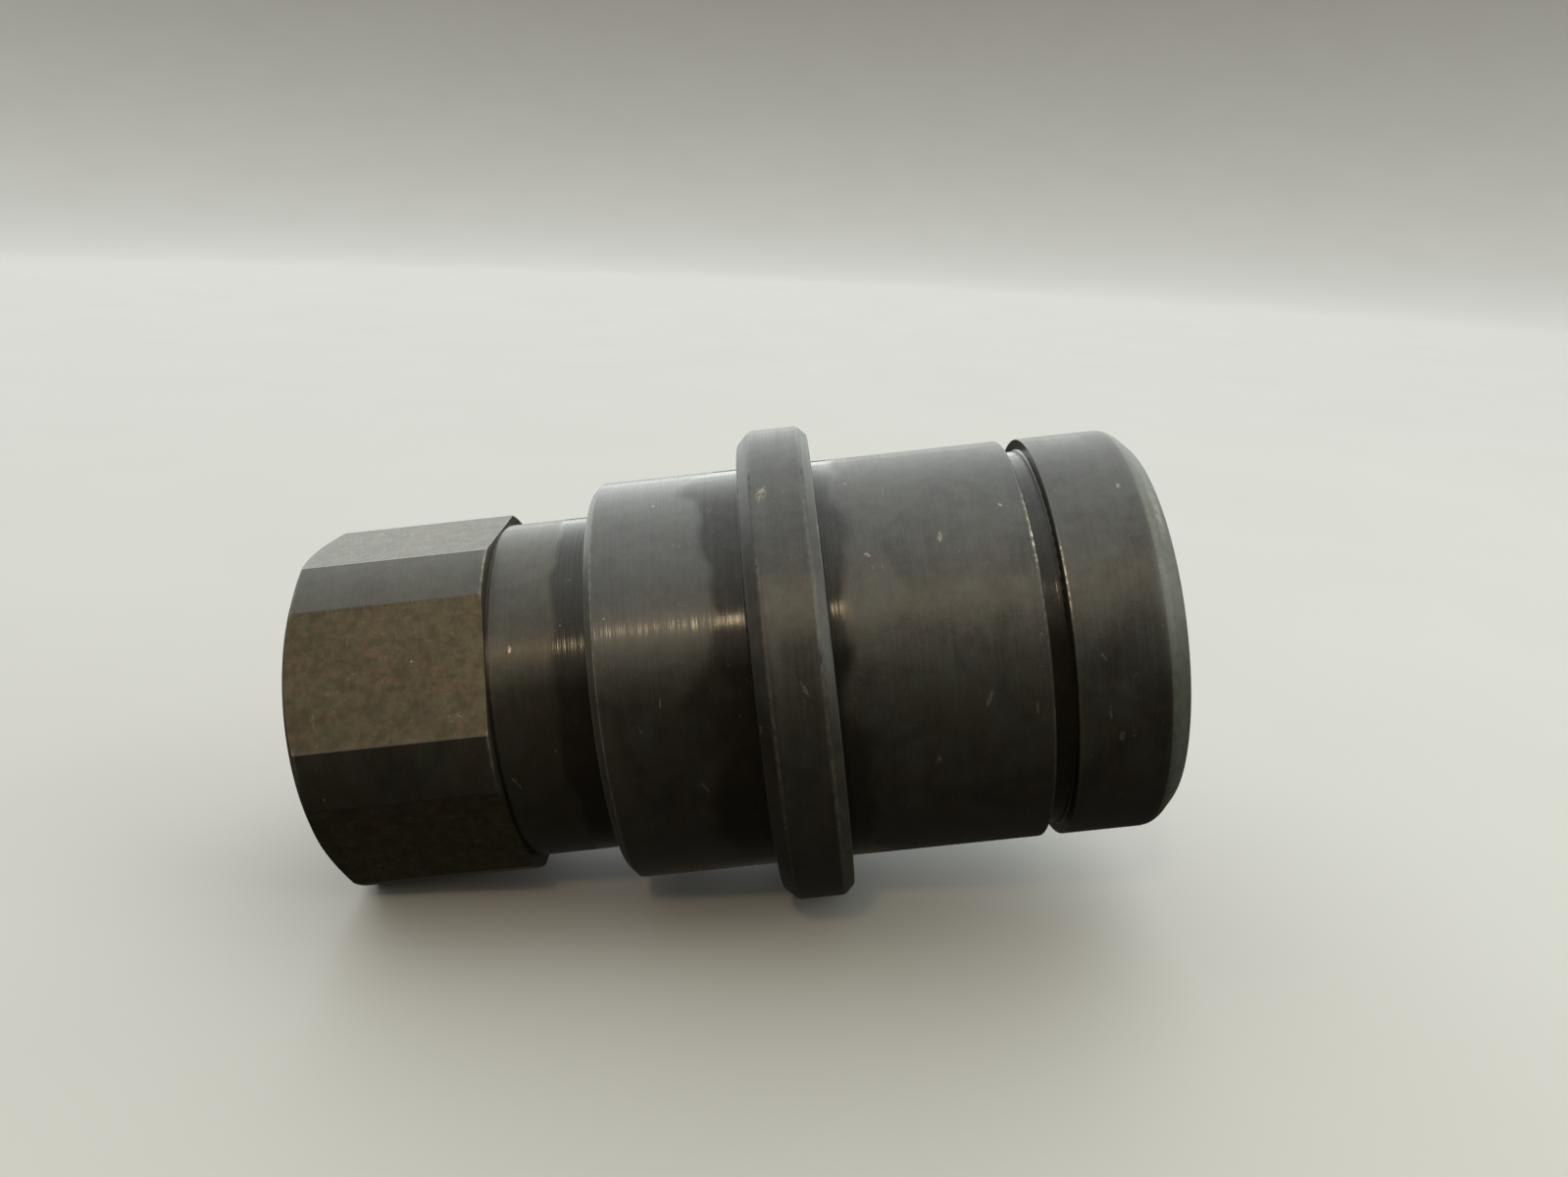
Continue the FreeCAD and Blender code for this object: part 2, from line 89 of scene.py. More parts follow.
# ---- Springs: wire radius in metres, and turns ----
SLEEVE_SPRING = (0.00095, 4.9)
POPPET_SPRING = (0.0006, 5.0)

# ---- Heights of fine relief, in metres ----
RING_HEIGHT = 0.000004
GRAIN_HEIGHT = 0.000006
SCUFF_DEPTH = 0.00001
OIL_RIPPLE = 0.00003

# ---- How the coupler lies: on the flange's rim and on the rear edge of its bottom flat ----
REST_TILT = math.atan2(FLANGE_R - FLAT_APOTHEM, FLANGE_REAR_X + FLANGE_REAR_CHAMFER - REAR_X)
FLOOR_POINT = Vector(((FLANGE_REAR_X + FLANGE_REAR_CHAMFER) / 1000, 0, -FLANGE_R / 1000))

# ---- Camera ----
CAMERA_LENS = 28.5
CAMERA_PLACE = Vector((-0.00156, -0.1131, 0.0433))
CAMERA_YAW = math.radians(-1.07)
CAMERA_PITCH = math.radians(17.6)
CAMERA_ROLL = math.radians(6.46)


class Nodes:
    """Builds a material's or the world's node tree. Inputs are numbers, colours or other nodes' outputs."""

    def __init__(self, owner):
        owner.use_nodes = True
        self.owner = owner
        self.tree = owner.node_tree
        self.tree.nodes.clear()

    def add(self, kind, settings, inputs):
        """A new node with its settings and inputs filled in."""
        node = self.tree.nodes.new(kind)
        for key, value in settings.items():
            setattr(node, key, value)
        for key, value in inputs.items():
            self.put(node.inputs[key], value)
        return node

    def put(self, socket, value):
        """Links an output into a socket, or stores a plain value there."""
        if isinstance(value, bpy.types.NodeSocket):
            self.tree.links.new(value, socket)
        elif isinstance(value, tuple) and len(value) == 3 and socket.type == "RGBA":
            socket.default_value = (*value, 1)
        else:
            socket.default_value = value

    def math(self, operation, first, second=0.0):
        return self.add("ShaderNodeMath", {"operation": operation}, {0: first, 1: second}).outputs[0]

    def plus(self, first, second):
        return self.math("ADD", first, second)

    def minus(self, first, second):
        return self.math("SUBTRACT", first, second)

    def times(self, first, second):
        return self.math("MULTIPLY", first, second)

    def most(self, values):
        """The largest of several values."""
        result = values[0]
        for value in values[1:]:
            result = self.math("MAXIMUM", result, value)
        return result

    def smooth(self, value, low, high, at_low=0.0, at_high=1.0):
        """Eases from at_low to at_high as value goes from low to high."""
        return self.add("ShaderNodeMapRange", {"interpolation_type": "SMOOTHSTEP"},
                        {"Value": value, "From Min": low, "From Max": high,
                         "To Min": at_low, "To Max": at_high}).outputs[0]

    def mix(self, share, first, second):
        """One colour fading into another."""
        return self.add("ShaderNodeMix", {"data_type": "RGBA"}, {0: share, 6: first, 7: second}).outputs[2]

    def blend(self, share, first, second):
        """One number fading into another."""
        return self.add("ShaderNodeMix", {"data_type": "FLOAT"}, {0: share, 2: first, 3: second}).outputs[0]

    def vector(self, x, y, z):
        return self.add("ShaderNodeCombineXYZ", {}, {0: x, 1: y, 2: z}).outputs[0]

    def noise(self, vector, scale, detail=3.0, roughness=0.5, distortion=0.0):
        """Smooth noise between about 0.2 and 0.8, whose grain is 1 / scale millimetres."""
        return self.add("ShaderNodeTexNoise", {},
                        {"Vector": vector, "Scale": scale, "Detail": detail, "Roughness": roughness,
                         "Distortion": distortion}).outputs["Fac"]

    def cells(self, vector, scale):
        """A cell texture, for specks: distance to the nearest cell's centre, and that cell's own colour."""
        node = self.add("ShaderNodeTexVoronoi", {}, {"Vector": vector, "Scale": scale})
        return node.outputs["Distance"], node.outputs["Color"]

    def place(self):
        """Position on the part in millimetres: the vector, distance along the axis, and radius. The angle
        around is kept too: radians up from the side facing -Y."""
        coordinates = self.add("ShaderNodeTexCoord", {}, {}).outputs["Object"]
        scaled = self.add("ShaderNodeVectorMath", {"operation": "SCALE"}, {0: coordinates, "Scale": 1000.0})
        split = self.add("ShaderNodeSeparateXYZ", {}, {0: scaled.outputs[0]}).outputs
        radius = self.math("SQRT", self.plus(self.times(split[1], split[1]), self.times(split[2], split[2])))
        self.across = split[1]
        self.up = split[2]
        self.angle = self.math("ARCTAN2", split[2], self.times(split[1], -1.0))
        return scaled.outputs[0], split[0], radius

    def band(self, x, low, high, soft):
        """1 between two places along the axis, easing to 0 over soft."""
        rising = self.smooth(x, low - soft, low + soft)
        falling = self.smooth(x, high - soft, high + soft, 1.0, 0.0)
        return self.times(rising, falling)

    def rim(self, x, radius, at_x, at_radius, width):
        """1 on a circular edge, easing to 0 at width from it."""
        along = self.minus(x, at_x)
        out = self.minus(radius, at_radius)
        distance = self.math("SQRT", self.plus(self.times(along, along), self.times(out, out)))
        return self.smooth(distance, 0.0, width, 1.0, 0.0)

    def hairlines(self, vector, scale, thin):
        """Long fine scratches: the level lines of a soft noise."""
        level = self.math("ABSOLUTE", self.minus(self.noise(vector, scale, 1.0, 0.4, 0.2), 0.5))
        return self.smooth(level, thin * 0.3, thin, 1.0, 0.0)

    def specks(self, vector, scale, size, share):
        """Small pale chips: some cells' centres, picked by the cell's colour."""
        distance, colour = self.cells(vector, scale)
        picked = self.smooth(self.add("ShaderNodeSeparateColor", {}, {0: colour}).outputs[0],
                             1 - share, 1 - share + 0.02)
        return self.times(self.smooth(distance, size * 0.4, size, 1.0, 0.0), picked)

    def bump(self, height, distance, normal=None):
        """Height in the same unit as distance, which is metres."""
        inputs = {"Height": height, "Distance": distance, "Strength": 1.0}
        if normal is not None:
            inputs["Normal"] = normal
        return self.add("ShaderNodeBump", {}, inputs).outputs[0]

    def around(self):
        """The direction around the coupler's axis, which turned metal's highlights follow."""
        return self.add("ShaderNodeTangent", {"direction_type": "RADIAL", "axis": "X"}, {}).outputs[0]

    def finish(self, **inputs):
        """The surface itself. Names are the shader's inputs, with underscores for spaces."""
        shader = self.tree.nodes.new("ShaderNodeBsdfPrincipled")
        for key, value in inputs.items():
            self.put(shader.inputs[key.replace("_", " ")], value)
        output = self.tree.nodes.new("ShaderNodeOutputMaterial")
        self.tree.links.new(shader.outputs[0], output.inputs[0])
        return self.owner


# ---- Colours, linear ----
OXIDE_DARK = (0.0105, 0.0095, 0.0076)
OXIDE_BROWN = (0.0150, 0.0127, 0.0092)
FILM_GREEN = (0.0215, 0.0222, 0.0165)
FILM_RED = (0.0215, 0.0168, 0.0120)
FLAT_DARK = (0.0100, 0.0082, 0.0030)
FLAT_OLIVE = (0.0235, 0.0200, 0.0062)
FLAT_RUST = (0.0440, 0.0190, 0.0085)
DULL_GREY = (0.064, 0.069, 0.056)
# Pale steel of worn edges, nicks and scuffs, also used for painted glints on the edges' lit arcs.
STEEL_WEAR_AND_GLINT = (0.46, 0.42, 0.35)


def turning_marks(n, x, radius):
    """Fine rings left by the lathe, 0 to 1: they change along the axis and across faces, hardly around."""
    along = n.plus(x, n.times(radius, 0.6))
    fine = n.noise(n.vector(n.times(along, 5.5), n.times(n.across, 0.06), n.times(n.up, 0.06)), 1.0, 1.0)
    coarse = n.noise(n.vector(n.times(along, 1.5), n.times(n.across, 0.04), n.times(n.up, 0.04)), 1.0, 2.0)
    return n.smooth(n.plus(n.times(fine, 0.65), n.times(coarse, 0.35)), 0.33, 0.67)


def oil_cover(n, place, x, radius, ragged, bands):
    """1 where oil lies. bands: (low x, high x, softness, drift), where drift is how far the edges wander."""
    wander = n.minus(n.noise(place, 0.17, 1.0, 0.5), 0.5)
    covers = []
    for low, high, soft, drift in bands:
        shift = n.plus(n.times(wander, 4.0 * drift), n.times(n.minus(ragged, 0.5), 0.12 * drift))
        covers.append(n.band(n.plus(x, shift), low, high, soft))
    below_flange = n.smooth(radius, SLEEVE_R + 0.2, SLEEVE_R + 0.9, 1.0, 0.0)
    return n.times(n.most(covers), below_flange)


def film_cover(n, place, x):
    """0 to 1: a thin dry film in clouds that are smeared around the turn."""
    cloud = n.noise(place, 0.13, 5.0, 0.62, 0.5)
    smear = n.noise(n.vector(n.times(x, 0.6), n.times(n.across, 0.17), n.times(n.up, 0.17)), 1.0, 4.0, 0.6)
    return n.smooth(n.plus(n.times(cloud, 0.7), n.times(smear, 0.3)), 0.38, 0.60, 0.15, 1.0)


def edge_wear_and_glints(n, place, x, radius, rims):
    """0 to 1: pale steel on circular edges, partly edge wear and partly painted glints: each edge is
    strongest on an arc where light glints on it.
    rims: (x, radius, width, strength, low, high), strongest between low and high degrees up from the side
    facing -Y."""
    lines = []
    for at_x, at_radius, width, strength, low, high in rims:
        # Painted glints: outside its arc an edge keeps a twentieth of its pale steel.
        arc = n.band(n.angle, math.radians(low), math.radians(high), math.radians(5))
        line = n.times(n.rim(x, radius, at_x, at_radius, width), strength)
        lines.append(n.times(line, n.blend(arc, 0.05, 1.0)))
    broken = n.smooth(n.noise(place, 1.3, 4.0, 0.65), 0.40, 0.62, 0.25, 1.0)
    return n.times(n.most(lines), broken)


def dull_faces(n, x, ragged, faces):
    """0 to 1: chamfers worn to a dull grey. faces: (low x, high x, strength)."""
    if not faces:
        return 0.0
    bands = [n.times(n.band(x, low, high, 0.10), strength) for low, high, strength in faces]
    return n.times(n.most(bands), n.smooth(ragged, 0.3, 0.7, 0.6, 1.0))


def scuff_marks(n, place, x, mottle, on_flats):
    """0 to 1: chips, specks of dust and short scratches, which lie every way on the flats."""
    chips = n.specks(place, 0.7, 0.11, 0.06)
    dust = n.specks(place, 2.1, 0.18, 0.06)
    ticks = n.hairlines(n.vector(n.times(x, 0.9), n.times(n.across, 0.16), n.times(n.up, 0.16)), 1.0, 0.0035)
    ticks = n.times(ticks, n.smooth(n.noise(place, 0.5, 2.0), 0.60, 0.66))
    marks = n.plus(n.plus(n.times(ticks, 0.16), n.times(chips, 0.42)), n.times(dust, 0.12))
    crossing = 0.0
    for lean, offset in ((0.9, 0.0), (-0.6, 7.0), (0.15, 13.0)):
        leaning = n.plus(n.up, n.times(x, lean))
        streak = n.vector(n.times(n.plus(leaning, offset), 1.5), n.times(x, 0.14), n.times(n.across, 0.3))
        crossing = n.plus(crossing, n.hairlines(streak, 1.0, 0.006))
    crossing = n.times(n.times(crossing, on_flats), n.smooth(mottle, 0.50, 0.66))
    return marks, crossing


def nick_marks(n, x, radius, nicks):
    """0 to 1: single dents and scratches. nicks: (x, degrees up from the -Y side, length, width, lean)."""
    marks = [0.0]
    for at_x, degrees, length, width, lean in nicks:
        around = n.times(n.minus(n.angle, math.radians(degrees)), radius)
        aside = n.minus(n.minus(x, at_x), n.times(around, lean))
        across = n.times(aside, 1 / width)
        down = n.times(around, 1 / length)
        far = n.math("SQRT", n.plus(n.times(across, across), n.times(down, down)))
        marks.append(n.smooth(far, 0.2, 1.0, 1.0, 0.0))
    return n.most(marks)


def scattered_nicks(seed, count, low_x, high_x):
    """Small nicks at random places on the near, upper side of a turned length."""
    draw = random.Random(seed)
    nicks = []
    for _ in range(count):
        at_x = draw.uniform(low_x, high_x)
        degrees = draw.uniform(-10, 70)
        length = draw.uniform(0.3, 0.9)
        width = draw.uniform(0.12, 0.3)
        lean = draw.uniform(-0.8, 0.5)
        nicks.append((at_x, degrees, length, width, lean))
    return nicks


def port_thread(n, x, radius):
    """A right hand thread's height from groove to crest, and 1 where it lies. It is shading alone: the port's
    wall in the CAD is a plain cylinder."""
    turn = n.plus(n.times(x, 1 / THREAD_PITCH), n.times(n.angle, 0.5 / math.pi))
    ridge = n.times(n.math("ABSOLUTE", n.minus(n.math("FRACT", turn), 0.5)), 2.0)
    along = n.band(x, PORT_X[0], PORT_X[1], 0.1)
    cut = n.times(along, n.smooth(radius, PORT_R + 0.1, PORT_R + 0.3, 1.0, 0.0))
    return n.smooth(ridge, 0.06, 0.88), cut


def oxide_masks(n, wear):
    """What a black oxide surface's colour, gloss and relief depend on. Each is between 0 and 1."""
    place, x, radius = n.place()
    m = SimpleNamespace()
    m.ragged = n.noise(place, 1.4, 5.0, 0.6)
    m.mottle = n.noise(place, 0.8, 6.0, 0.68)
    m.grain = n.noise(place, 4.5, 3.0, 0.7)
    m.rusty = n.smooth(n.noise(place, 0.33, 4.0, 0.6), 0.38, 0.62)
    m.marks = turning_marks(n, x, radius)
    behind = n.smooth(x, wear.flats_end_x - 0.1, wear.flats_end_x + 0.1, 1.0, 0.0)
    m.flats = n.times(behind, n.band(radius, FLAT_APOTHEM - 0.1, CORNER_R - 0.08, 0.05))
    m.oil = oil_cover(n, place, x, radius, m.ragged, wear.oil_bands)
    m.film = n.times(film_cover(n, place, x), n.minus(1.0, m.oil))
    m.dull = dull_faces(n, x, m.ragged, wear.faces)
    m.scuffs, m.crossing = scuff_marks(n, place, x, m.mottle, m.flats)
    # Edge wear with painted glints: the edges are pale mostly on the arcs where light glints on them.
    worn_edges_and_glints = edge_wear_and_glints(n, place, x, radius, wear.rims)
    broken = n.smooth(m.grain, 0.42, 0.58, 0.05, 0.42)
    nicked = n.times(nick_marks(n, x, radius, wear.nicks), broken)
    # Pale steel: worn edges with their painted glints, nicks, scuffs and scratches on the flats.
    bare = n.plus(n.plus(worn_edges_and_glints, nicked), n.plus(m.scuffs, n.times(m.crossing, 0.22)))
    m.bare = n.math("MINIMUM", bare, 1.0)
    behind_flange = n.smooth(x, FLANGE_REAR_X - 0.1, FLANGE_REAR_X + 0.1, 1.0, 0.0)
    below_flange = n.smooth(radius, SLEEVE_R + 0.6, SLEEVE_R + 1.4, 1.0, 0.0)
    m.polish = n.most([n.times(behind_flange, below_flange), n.times(m.oil, 0.9)])
    m.thread, m.thread_cut = port_thread(n, x, radius)
    return m


def oxide_colour(n, m):
    """Near black where turned, olive and rust on the flats, pale where the coat is gone or an edge carries a
    painted glint, with painted shade in the port thread's grooves.
    """
    turned = n.mix(n.smooth(m.mottle, 0.3, 0.7), OXIDE_DARK, OXIDE_BROWN)
    turned = n.mix(m.film, turned, n.mix(m.rusty, FILM_GREEN, FILM_RED))
    turned = n.mix(n.times(m.marks, 0.15), turned, OXIDE_DARK)
    milled = n.mix(n.smooth(m.mottle, 0.30, 0.70), FLAT_DARK, FLAT_OLIVE)
    milled = n.mix(n.times(m.rusty, n.smooth(m.ragged, 0.42, 0.68, 0.0, 0.9)), milled, FLAT_RUST)
    colour = n.mix(m.flats, turned, milled)
    colour = n.mix(n.smooth(m.grain, 0.40, 0.75, 0.0, 0.3), colour, OXIDE_DARK)
    colour = n.mix(m.dull, colour, DULL_GREY)
    # Pale steel where edges are worn, nicked or scuffed, and painted glints on the edges' lit arcs.
    colour = n.mix(m.bare, colour, STEEL_WEAR_AND_GLINT)
    # Painted shade: the port thread's grooves are darkened, since the thread is only shading.
    return n.mix(n.times(m.thread_cut, n.smooth(m.thread, 0.5, 0.0, 0.0, 0.7)), colour, OXIDE_DARK)


def oxide_gloss(n, m, oil_gloss):
    """The roughness: lowest on oil and on the pale steel of wear and painted glints."""
    gloss = n.blend(m.film, 0.42, n.blend(m.polish, 0.52, 0.46))
    gloss = n.blend(m.oil, gloss, oil_gloss)
    gloss = n.plus(gloss, n.times(n.minus(m.marks, 0.5), 0.06))
    gloss = n.plus(gloss, n.times(n.minus(m.grain, 0.5), n.blend(m.polish, 0.15, 0.06)))
    gloss = n.blend(m.flats, gloss, n.smooth(m.grain, 0.3, 0.7, 0.40, 0.56))
    gloss = n.blend(m.dull, gloss, 0.50)
    return n.blend(m.bare, gloss, 0.22)


def oxide_shine(n, m, oil_shine):
    """The specular level: steady on dry turning, patchy on the flats."""
    dry = n.blend(m.film, 0.48, n.blend(m.polish, 0.62, 0.54))
    shine = n.blend(m.oil, dry, oil_shine)
    cloudy = n.plus(n.times(m.mottle, 0.5), n.times(m.grain, 0.5))
    shine = n.times(shine, n.smooth(cloudy, 0.36, 0.64, 0.86, 1.12))
    shine = n.times(shine, n.smooth(m.marks, 0.1, 0.9, 0.94, 1.06))
    patchy = n.plus(n.times(m.mottle, 0.45), n.plus(n.times(m.grain, 0.25), n.times(m.ragged, 0.3)))
    return n.blend(m.flats, shine, n.smooth(patchy, 0.40, 0.60, 0.48, 0.74))


def oxide_relief(n, m):
    """Lathe rings, grain, scuffs and the port's thread, one over the other."""
    rings = n.times(m.marks, n.blend(m.flats, n.blend(m.polish, 1.0, 3.2), 0.3))
    normal = n.bump(n.plus(rings, n.times(m.mottle, n.blend(m.polish, 0.8, 0.2))), RING_HEIGHT)
    normal = n.bump(n.times(m.grain, n.blend(m.polish, 1.0, 0.25)), GRAIN_HEIGHT, normal)
    normal = n.bump(n.minus(1.0, n.plus(m.scuffs, m.crossing)), SCUFF_DEPTH, normal)
    return n.bump(n.times(m.thread, m.thread_cut), THREAD_DEPTH / 1000, normal)


def black_oxide(name, wear):
    """Worn black oxide on turned steel. Milled flats, which are browner and scuffed, end at wear.flats_end_x.
    The clear oil over fine turning is wear.oil_on_film and wear.oil_on_oil strong."""
    n = Nodes(bpy.data.materials.new(name))
    m = oxide_masks(n, wear)
    clear = n.times(m.polish, n.blend(m.oil, wear.oil_on_film, wear.oil_on_oil))
    milled_tint = n.mix(n.smooth(m.ragged, 0.35, 0.65), (1.0, 0.96, 0.74), (1.0, 0.89, 0.74))
    return n.finish(Base_Color=oxide_colour(n, m), Roughness=oxide_gloss(n, m, wear.oil_gloss),
                    Metallic=n.math("MINIMUM", n.times(m.bare, 2.2), 1.0), Normal=oxide_relief(n, m),
                    Tangent=n.around(), Anisotropic=n.blend(m.flats, n.blend(m.polish, 0.55, 0.80), 0.2),
                    Anisotropic_Rotation=0.25, IOR=1.5, Specular_IOR_Level=oxide_shine(n, m, wear.oil_shine),
                    Specular_Tint=n.mix(m.flats, wear.tint, milled_tint), Coat_Weight=clear,
                    Coat_Roughness=wear.coat_roughness, Coat_Normal=n.bump(m.marks, OIL_RIPPLE))


def bright_steel(name, colour, roughness):
    """Plated or bare machined steel with lathe rings and faint stains."""
    n = Nodes(bpy.data.materials.new(name))
    place, x, radius = n.place()
    marks = turning_marks(n, x, radius)
    stain = n.smooth(n.noise(place, 0.5, 5.0, 0.6), 0.35, 0.7)
    darker = tuple(part * 0.55 for part in colour)
    tone = n.mix(stain, darker, colour)
    tone = n.mix(n.times(marks, 0.35), tone, darker)
    gloss = n.plus(n.blend(stain, roughness + 0.12, roughness), n.times(n.minus(marks, 0.5), 0.2))
    return n.finish(Base_Color=tone, Roughness=gloss, Metallic=1.0, Normal=n.bump(marks, 0.000003),
                    Tangent=n.around(), Anisotropic=0.5, Anisotropic_Rotation=0.25)


def polished_ball(name):
    """Hardened chrome steel with hair scratches and a thin oil film."""
    n = Nodes(bpy.data.materials.new(name))
    place, _, _ = n.place()
    lines = n.hairlines(place, 1.7, 0.008)
    smear = n.noise(place, 1.2, 4.0)
    tone = n.mix(n.smooth(smear, 0.4, 0.7), (0.56, 0.56, 0.57), (0.42, 0.41, 0.39))
    gloss = n.plus(n.times(lines, 0.2), n.smooth(smear, 0.35, 0.7, 0.06, 0.17))
    return n.finish(Base_Color=tone, Roughness=gloss, Metallic=1.0, Normal=n.bump(lines, 0.000002))


def spring_wire(name):
    """Drawn, oiled spring steel: dark, with fine lines along the wire."""
    n = Nodes(bpy.data.materials.new(name))
    place, _, _ = n.place()
    grain = n.noise(place, 3.2, 6.0, 0.7)
    stain = n.smooth(n.noise(place, 0.4, 3.0), 0.4, 0.65)
    tone = n.mix(stain, (0.17, 0.165, 0.155), (0.085, 0.075, 0.062))
    gloss = n.plus(n.times(grain, 0.25), 0.2)
    return n.finish(Base_Color=tone, Roughness=gloss, Metallic=0.9, Normal=n.bump(grain, 0.000006))


def oiled_rubber(name):
    """Nitrile rubber: near black, with a fine pebble and an uneven oil sheen."""
    n = Nodes(bpy.data.materials.new(name))
    place, _, _ = n.place()
    pebble = n.noise(place, 6.0, 4.0, 0.6)
    oil = n.smooth(n.noise(place, 0.35, 3.0), 0.42, 0.62)
    tone = n.mix(pebble, (0.008, 0.008, 0.0085), (0.02, 0.02, 0.02))
    gloss = n.blend(oil, 0.52, 0.27)
    return n.finish(Base_Color=tone, Roughness=gloss, Normal=n.bump(pebble, 0.00001), IOR=1.5)


def white_ptfe(name):
    """Skived PTFE: waxy off-white with faint rings."""
    n = Nodes(bpy.data.materials.new(name))
    place, x, radius = n.place()
    marks = turning_marks(n, x, radius)
    cloud = n.noise(place, 0.5, 4.0)
    tone = n.mix(cloud, (0.62, 0.60, 0.55), (0.78, 0.77, 0.73))
    return n.finish(Base_Color=tone, Roughness=0.45, Subsurface_Weight=0.15, Subsurface_Scale=0.0008,
                    Normal=n.bump(marks, 0.000008), IOR=1.35)


def paint_node(node, material):
    """Gives a CAD node its finished material."""
    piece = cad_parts[node]
    if not piece.material_slots:
        piece.data.materials.append(material)
    for material_slot in piece.material_slots:
        material_slot.material = material


def sleeve_rims():
    """The sleeve's outside edges: x, radius, width, strength, and the arc in degrees that gets the most pale
    steel. The arcs are set where light glints on each edge, so they paint glints as well as wear.
    """
    front = SLEEVE_FRONT_X
    return [
        (SLEEVE_REAR_X, SLEEVE_R - REAR_CHAMFER, 0.30, 0.14, -60, 90),
        (SLEEVE_REAR_X + REAR_CHAMFER, SLEEVE_R, 0.16, 0.24, -30, 70),
        (FLANGE_REAR_X, FLANGE_R - FLANGE_REAR_CHAMFER, 0.26, 0.8, 30, 50),
        (FLANGE_REAR_X + FLANGE_REAR_CHAMFER, FLANGE_R, 0.30, 0.16, -60, 45),
        (-FLANGE_FRONT_CHAMFER, FLANGE_R, 0.30, 0.12, -60, 60),
        (0, FLANGE_R - FLANGE_FRONT_CHAMFER, 0.24, 0.8, 40, 55),
        (GROOVE_X[0], SLEEVE_R, 0.42, 1.0, 40, 60), (GROOVE_X[1], SLEEVE_R, 0.30, 1.0, 25, 45),
        (front - NOSE_CHAMFER, SLEEVE_R, 0.6, 0.10, 30, 60),
        (front, SLEEVE_R - NOSE_CHAMFER, 0.5, 0.12, 0, 90),
        (front - 0.5 * NOSE_CHAMFER, SLEEVE_R - 0.5 * NOSE_CHAMFER, 0.8, 0.35, 45, 60)]


def sleeve_material():
    """Dark oil stands in the roots on both sides of the flange and in the snap ring groove."""
    return black_oxide("sleeve_black_oxide", SimpleNamespace(
        rims=sleeve_rims(),
        faces=[(-FLANGE_FRONT_CHAMFER, 0.0, 0.06),
               (SLEEVE_FRONT_X - NOSE_CHAMFER - 0.3, SLEEVE_FRONT_X + 0.2, 0.95),
               (SLEEVE_REAR_X, SLEEVE_REAR_X + REAR_CHAMFER, 0.25)],
        nicks=[LARGE_NICK] + scattered_nicks(5, 14, SLEEVE_REAR_X + 3, SLEEVE_FRONT_X - 3),
        oil_bands=[(-10.8, FLANGE_REAR_X + 4.0, 1.1, 2.4), (-2.0, 1.9, 0.9, 1.5),
                   (GROOVE_X[0], GROOVE_X[1], 0.08, 0.0)],
        oil_gloss=0.20, oil_shine=0.28, oil_on_film=0.22, oil_on_oil=0.0, coat_roughness=0.14,
        tint=(1.0, 1.0, 1.0), flats_end_x=SLEEVE_REAR_X - 1))


def adapter_material():
    """The wrench flats and the neck, whose front end is dark with oil from under the sleeve."""
    return black_oxide("adapter_black_oxide", SimpleNamespace(
        # Worn edges, pale mostly on the upper front quarter (0 to 90 degrees): partly painted glints.
        rims=[(REAR_X, REAR_FACE_R, 0.3, 0.25, 0, 90),
              (REAR_X + REAR_FACE_CHAMFER, CORNER_R, 0.3, 0.2, 0, 90),
              (WRENCH_FRONT_X, CORNER_R, 0.30, 0.35, 0, 90),
              (WRENCH_FRONT_X + 0.3, NECK_R, 0.10, 0.3, 0, 90)],
        faces=[],
        nicks=scattered_nicks(3, 2, WRENCH_FRONT_X + 1, -23.5),
        oil_bands=[(-23.6, -8.0, 0.35, 0.5)],
        oil_gloss=0.27, oil_shine=0.07, oil_on_film=0.02, oil_on_oil=0.35, coat_roughness=0.17,
        tint=(1.0, 0.96, 0.86), flats_end_x=WRENCH_FRONT_X))


def socket_material():
    """The inner body, oiled all over, with its mouth's edges worn pale, most on the upper front quarter as
    painted glints.
    """
    return black_oxide("socket_black_oxide", SimpleNamespace(
        # Worn edges, pale mostly on the upper front quarter (0 to 90 degrees): partly painted glints.
        rims=[(SOCKET_FRONT_X, SOCKET_R - SOCKET_CHAMFER, 0.3, 0.4, 0, 90),
              (SOCKET_FRONT_X - SOCKET_CHAMFER, SOCKET_R, 0.2, 0.3, 0, 90),
              (SOCKET_FRONT_X, SOCKET_MOUTH_R, 0.3, 0.4, 0, 90)],
        faces=[],
        nicks=[],
        oil_bands=[(-25.0, 27.0, 1.0, 2.0)],
        oil_gloss=0.26, oil_shine=0.30, oil_on_film=0.0, oil_on_oil=0.0, coat_roughness=0.2,
        tint=(1.0, 1.0, 1.0), flats_end_x=REAR_X))


def paint_all():
    """Materials for every CAD node."""
    sleeve = sleeve_material()
    adapter = adapter_material()
    socket = socket_material()
    plated = bright_steel("plated_steel", (0.50, 0.49, 0.46), 0.28)
    washer = bright_steel("washer_steel", (0.27, 0.26, 0.24), 0.33)
    ball = polished_ball("ball_steel")
    rubber = oiled_rubber("nitrile_rubber")
    materials = {
        "rear_adapter": adapter, "socket_body": socket, "release_sleeve": sleeve, "spring_washer": washer,
        "sleeve_stop_ring": washer, "guide_retaining_ring": washer, "valve_guide": plated,
        "poppet_head": plated, "poppet_nose": plated, "poppet_seal": rubber, "interface_o_ring": rubber,
        "body_o_ring": rubber, "interface_backup_ring": white_ptfe("ptfe"),
    }
    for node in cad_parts:
        if node.startswith("locking_ball"):
            materials[node] = ball
    for node, material in materials.items():
        paint_node(node, material)


